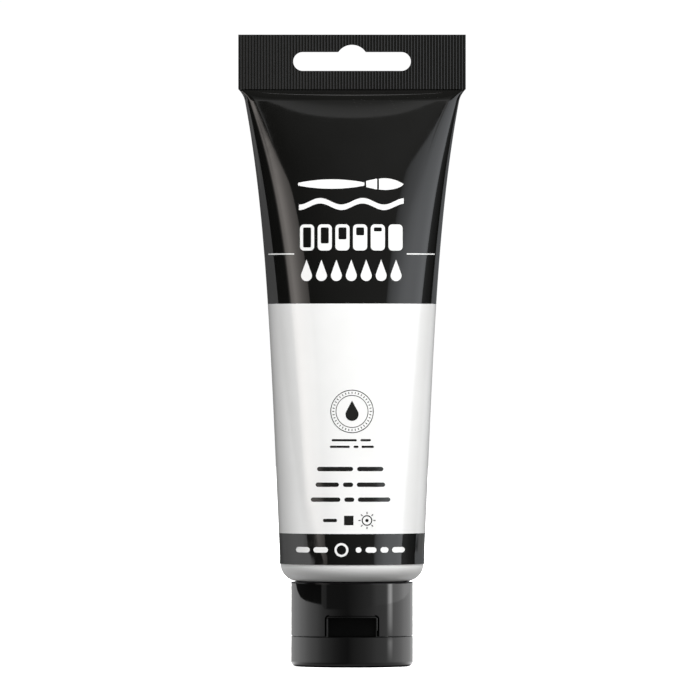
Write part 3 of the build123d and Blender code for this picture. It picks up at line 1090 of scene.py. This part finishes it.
RIGHT_GAP_CARD = ((84, -6, 10, 0.3), (92, -6, 10, 0.25), (102, -6, 10, 0.1), (116, -6, 10, 0.03))
TOP_CARD = [(azimuth, 39 * cos(radians(1.35 * azimuth)), 62, 1) for azimuth in range(-54, 55, 3)]
TOP_FADE = ((0, 0.73), (3, 0.57), (5, 0.42), (6, 0.3), (8, 0.2), (15, 0.1), (20, 0))
OVERHEAD_CARD = ((120, 72.5, 78.5, 1.7), (240, 72.5, 78.5, 1.7))

# Low round card close to the cap, in millimetres: the edge between its parts as (azimuth, height), the light
# below and above that edge as (azimuth, light), and a streak as light by azimuth times a share by height
COLLAR_RADIUS = 90.0
COLLAR_BOTTOM_EDGE = -1
COLLAR_TOP_EDGE = 24.0
COLLAR_EDGE = (
    (-150, COLLAR_TOP_EDGE), (-135, 21.5), (-127, 19.2), (-115, 17.4), (-99, 16.5), (-77, 15.9),
    (-58, 15.5), (-54, 14.3), (16, 14.3), (52, 15.5), (71, 15.7), (96, 16.3), (117, 17.2), (138, 18.8),
    (146, 20.7), (151, COLLAR_TOP_EDGE),
)
COLLAR_LIGHT = (
    (-180, 0.6), (-154, 0.7), (-122, 1.5), (-102, 1.6), (-85, 1.26), (-71, 1.0), (-58, 0.6), (-45, 0.4),
    (-33, 0.25), (-20, 0.14), (-8, 0.1), (2, 0.2), (24, 0.36), (36, 0.5), (48, 0.7), (66, 0.8), (88, 1.5),
    (116, 1.75), (142, 1.2), (180, 0.7),
)
COLLAR_DARK = (
    (-150, 0.05), (-61, 0.05), (-59, 0.4), (-51, 0.35), (-48, 0.12), (-10, 0.1), (10, 0.24), (36, 0.45),
    (48, 0.8), (67, 0.95), (70, 1.4), (74, 4.8), (78, 6.6), (81, 5.0), (84, 2.1), (96, 2.1), (116, 2.4),
    (142, 1.2), (151, 1.0),
)
STREAK_LIGHT = ((69, 0), (72, 1.0), (75, 2.0), (79, 2.4), (82, 1.2), (85, 0))
STREAK_HEIGHT = ((0, 0), (3, 0.5), (6, 1), (7.2, 0.15), (9, 0.5), (11, 1.0), (15.6, 1.4))

# Bright strip of the table round the lid: its outer radius and how far it lies below, in millimetres
FOOT_REACH = 18.4
FOOT_DEPTH = 0.9
FOOT_LIGHT = 0.55

# Table: its half width and its reach before and behind the tube in metres, and its light by azimuth
TABLE_DROP = 0.001
TABLE_SIDE = 0.77
TABLE_FRONT = 0.65
TABLE_BACK = 1.2
TABLE_LIGHT = (
    (-180, 0.1), (-151, 0.12), (-136, 0.39), (-124, 0.6), (-107, 1.1), (-80, 1.6), (-61, 1.7), (-59, 0.5),
    (-33, 0.2), (-8, 0.1), (24, 0.2), (36, 0.9), (52, 2), (84, 2.3), (86, 0.06), (124, 0.04), (131, 0.55),
    (148, 0.3), (180, 0.2),
)

# The floor's own glow: (nearest, farthest) place from the tube in metres, and its strength at each
FLOOR_HALF = 12.0
FLOOR_REACH = (0.1, 0.8)
FLOOR_GLOW = (0.6, 1.1)

# The glow from all round, by the height of its direction: less from below than from above
WORLD_RISE = (-0.3, 0.3)
WORLD_GLOW = (0.15, 0.75)

DOME_RADIUS = 6
DOME_GLOW = 1.02
LAMP_DISTANCE = 2.4
LAMP_SIZE = 1.2


def emission(name, colour, strength=None):
    """Plain glow. Without a strength, it follows the mesh's own glow attribute."""
    material, tree = blank_material(name)
    tree.nodes.clear()
    out = node(tree, "ShaderNodeOutputMaterial")
    shader = node(tree, "ShaderNodeEmission", Color=(*colour, 1))
    tree.links.new(shader.outputs["Emission"], out.inputs["Surface"])
    if strength:
        shader.inputs["Strength"].default_value = strength
    else:
        glow = node(tree, "ShaderNodeAttribute", attribute_name="glow")
        tree.links.new(glow.outputs["Fac"], shader.inputs["Strength"])
    return material


def along(profile, value):
    """Straight-line value of a profile of (place, value) pairs."""
    if value <= profile[0][0]:
        return profile[0][1]
    for (a, low), (b, high) in zip(profile, profile[1:]):
        if value <= b:
            return low + (high - low) * (value - a) / (b - a)
    return profile[-1][1]


def polar(azimuth, elevation, distance):
    """Place at an azimuth rightward from the front and an elevation, seen from the tube's middle."""
    turn, lift = radians(azimuth), radians(elevation)
    return MIDDLE + distance * Vector((sin(turn) * cos(lift), -cos(turn) * cos(lift), sin(lift)))


def stage_piece(piece, *rays):
    """Hides a piece of the stage from the named kinds of ray."""
    for ray in rays:
        setattr(piece, f"visible_{ray}", False)


def glowing(name, colour, grid):
    """Glowing sheet that only shows in gloss. grid holds rows of (place, light)."""
    across = len(grid[0])
    faces = []
    for row in range(len(grid) - 1):
        for column in range(across - 1):
            low = row * across + column
            faces.append([low, low + 1, low + 1 + across, low + across])
    mesh = bpy.data.meshes.new(name)
    mesh.from_pydata([place for row in grid for place, light in row], [], faces)
    attribute = mesh.attributes.new("glow", "FLOAT", "POINT")
    attribute.data.foreach_set("value", [light for row in grid for place, light in row])
    mesh.materials.append(emission(name, colour))
    stage_piece(added(name, mesh), "camera", "diffuse", "shadow")


def collar_place(azimuth, height):
    """Place on the collar that the cap shows to a far viewer in the direction of an azimuth."""
    turn = radians(azimuth) - asin(CAP_RADIUS / COLLAR_RADIUS * sin(radians(azimuth / 2)))
    return Vector((COLLAR_RADIUS * sin(turn), -COLLAR_RADIUS * cos(turn), height)) * MM


def card(name, colour, columns, fade=((0, 1),), distance=CARD_DISTANCE):
    """Curved card far round the tube, whose light fades upward."""

    def place(azimuth, elevation):
        return polar(azimuth, elevation, distance)

    sheet(name, colour, columns, place, lambda azimuth, above, light: light * along(fade, above))


def sheet(name, colour, columns, place, shine=None):
    """Glowing card between two edges. shine changes the light by azimuth and height above the low edge."""
    count = ceil(columns[-1][0] - columns[0][0])
    grid = []
    for share in steps_between(0, 1, 24):
        row = []
        for azimuth in steps_between(columns[0][0], columns[-1][0], count):
            low, high, light = (along([(c[0], c[k]) for c in columns], azimuth) for k in (1, 2, 3))
            height = low + (high - low) * share
            row.append((place(azimuth, height), shine(azimuth, height - low, light) if shine else light))
        grid.append(row)
    glowing(name, colour, grid)


def collar():
    """Low round card close to the cap: softly lit up to a curved edge, with a streak, and darker above."""

    def streaked(azimuth, above, light):
        return light + along(STREAK_LIGHT, azimuth) * along(STREAK_HEIGHT, above)

    edge = {azimuth: along(COLLAR_EDGE, azimuth) for azimuth in range(-180, 181)}
    lower = [(azimuth, COLLAR_BOTTOM_EDGE, z, along(COLLAR_LIGHT, azimuth)) for azimuth, z in edge.items()]
    upper = [
        (azimuth, edge[azimuth], COLLAR_TOP_EDGE, along(COLLAR_DARK, azimuth)) for azimuth in range(-150, 152)
    ]
    sheet("collar_low", NEUTRAL, lower, collar_place, streaked)
    sheet("collar_high", NEUTRAL, upper, collar_place)


def table():
    """White table top, as gloss shows it: bright behind the tube and dark before it."""
    near = CAP_RADIUS * MM
    grid = []
    for share in steps_between(0, 1, 30):
        row = []
        for azimuth in steps_between(-180, 180, 360):
            side, ahead = sin(radians(azimuth)), cos(radians(azimuth))
            depth = TABLE_FRONT if ahead > 0 else TABLE_BACK
            edge = min(TABLE_SIDE / max(abs(side), 1e-6), depth / max(abs(ahead), 1e-6))
            reach = near + (edge - near) * share
            lights = TABLE_LIGHT if reach > COLLAR_RADIUS * MM else COLLAR_LIGHT
            row.append((Vector((reach * side, -reach * ahead, -TABLE_DROP)), along(lights, azimuth)))
        grid.append(row)
    glowing("table", NEUTRAL, grid)


def foot():
    """Bright strip of the table close round the lid's edge."""

    def place(azimuth, reach):
        return Vector((reach * sin(radians(azimuth)), -reach * cos(radians(azimuth)), -FOOT_DEPTH)) * MM

    columns = [(azimuth, CAP_RADIUS, FOOT_REACH, FOOT_LIGHT) for azimuth in (-180, 180)]
    sheet("foot", NEUTRAL, columns, place)


def soft_light(name, azimuth, elevation, power):
    """Large soft light aimed at the tube's middle, which lights surfaces but doesn't show in gloss."""
    data = bpy.data.lights.new(name, "AREA")
    data.shape = "DISK"
    data.size = LAMP_SIZE
    data.energy = power
    lamp = added(name, data)
    lamp.location = polar(azimuth, elevation, LAMP_DISTANCE)
    lamp.rotation_euler = (MIDDLE - lamp.location).to_track_quat("-Z", "Y").to_euler()
    lamp.visible_glossy = False


def floor():
    """Pale floor that only the camera sees, and only from above: evenly white far from the tube."""
    half = FLOOR_HALF
    corners = [(-half, -half, 0), (half, -half, 0), (half, half, 0), (-half, half, 0)]
    mesh = bpy.data.meshes.new("floor")
    mesh.from_pydata(corners, [], [range(4)])
    material, tree = blank_material("floor")
    shader = tree.nodes["Principled BSDF"]
    shader.inputs["Base Color"].default_value = (0.85, 0.85, 0.85, 1)
    shader.inputs["Roughness"].default_value = 1.0
    shader.inputs["Specular IOR Level"].default_value = 0.0
    shader.inputs["Emission Color"].default_value = (1, 1, 1, 1)
    place = node(tree, "ShaderNodeTexCoord")
    reach = node(tree, "ShaderNodeVectorMath", operation="LENGTH")
    tree.links.new(place.outputs["Object"], reach.inputs[0])
    glow = mapped(tree, reach.outputs["Value"], FLOOR_REACH, FLOOR_GLOW)
    tree.links.new(glow, shader.inputs["Emission Strength"])
    side = node(tree, "ShaderNodeNewGeometry")
    mix = node(tree, "ShaderNodeMixShader")
    tree.links.new(side.outputs["Backfacing"], mix.inputs[0])
    tree.links.new(shader.outputs["BSDF"], mix.inputs[1])
    tree.links.new(node(tree, "ShaderNodeBsdfTransparent").outputs["BSDF"], mix.inputs[2])
    tree.links.new(mix.outputs["Shader"], tree.nodes["Material Output"].inputs["Surface"])
    mesh.materials.append(material)
    stage_piece(added("floor", mesh), "glossy", "diffuse")


def surroundings():
    """White dome that only the camera sees, and a glow from all round that only lights rough surfaces."""
    bpy.ops.mesh.primitive_uv_sphere_add(radius=DOME_RADIUS)
    dome = bpy.context.object
    dome.name = "dome"
    dome.data.materials.append(emission("dome", NEUTRAL, DOME_GLOW))
    stage_piece(dome, "diffuse", "glossy", "shadow")
    world = bpy.data.worlds.new("glow")
    world.use_nodes = True
    tree = world.node_tree
    background = tree.nodes["Background"]
    background.inputs["Color"].default_value = (1, 1, 1, 1)
    place = node(tree, "ShaderNodeTexCoord")
    split = node(tree, "ShaderNodeSeparateXYZ")
    tree.links.new(place.outputs["Generated"], split.inputs["Vector"])
    glow = mapped(tree, split.outputs["Z"], WORLD_RISE, WORLD_GLOW)
    tree.links.new(glow, background.inputs["Strength"])
    world.cycles_visibility.glossy = False
    bpy.context.scene.world = world


def camera():
    """Level long lens in front of the tube."""
    data = bpy.data.cameras.new("camera")
    data.lens = 502.7
    data.sensor_width = 36
    data.shift_y = 0.0388
    data.shift_x = -0.0029
    data.clip_end = 100
    eye = added("camera", data)
    eye.location = (0, -2.7, 0.0798)
    eye.rotation_euler = (radians(90), 0, 0)
    bpy.context.scene.camera = eye
    bpy.context.scene.view_settings.view_transform = "Standard"


floor()
surroundings()
camera()
table()
foot()
collar()
card("left_card", WARM, LEFT_CARD)
card("left_rear_card", NEUTRAL, LEFT_REAR)
card("left_low_card", NEUTRAL, LEFT_LOW)
card("right_card", COOL, RIGHT_CARD, RIGHT_FADE)
card("right_rear_card", COOL, RIGHT_REAR)
card("front_card", NEUTRAL, FRONT_CARD, FRONT_FADE, BACK_CARD_DISTANCE)
card("right_gap_card", COOL, RIGHT_GAP_CARD, distance=BACK_CARD_DISTANCE)
card("top_card", NEUTRAL, TOP_CARD, TOP_FADE)
card("overhead_card", NEUTRAL, OVERHEAD_CARD)
soft_light("key", azimuth=20, elevation=52, power=69)
soft_light("rear", azimuth=180, elevation=50, power=60)
